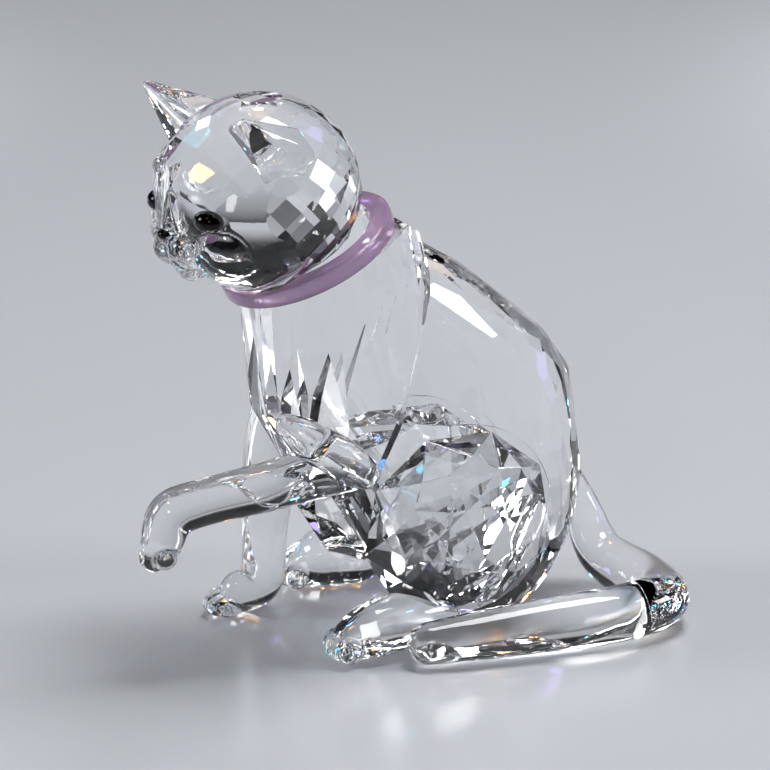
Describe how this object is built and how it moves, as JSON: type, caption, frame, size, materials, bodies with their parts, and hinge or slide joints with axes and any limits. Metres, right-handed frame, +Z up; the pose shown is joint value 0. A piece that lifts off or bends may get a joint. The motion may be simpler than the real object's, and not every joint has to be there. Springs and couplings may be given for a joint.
{
  "type": "crystal glass figurine",
  "caption": "Seated cat in clear cut crystal with a raised paw, black glass eyes and a lavender glass collar, bonded from cut and moulded glass pieces.",
  "frame": {"origin": "middle of the flat under the back crystal, on the surface that the cat stands on", "axes": "+Z up; the cat faces -Y; its left side, with the raised paw and the tail, is +X"},
  "size_m": [0.0482, 0.0822, 0.0812],
  "materials": {
    "clear_crystal": "polished clear crystal, cut facets on the head, chest, back and haunches, fire-polished limbs",
    "lavender_glass": "polished translucent lavender glass",
    "black_glass": "polished opaque black glass"
  },
  "bodies": {
    "root": {"head": "clear_crystal", "left_ear": "clear_crystal", "right_ear": "clear_crystal", "left_eye": "black_glass", "right_eye": "black_glass", "nose": "black_glass", "collar": "lavender_glass", "chest": "clear_crystal", "back": "clear_crystal", "left_haunch": "clear_crystal", "right_haunch": "clear_crystal", "raised_foreleg": "clear_crystal", "standing_foreleg": "clear_crystal", "left_hind_paw": "clear_crystal", "right_hind_paw": "clear_crystal", "tail": "clear_crystal"}
  },
  "joints": []
}
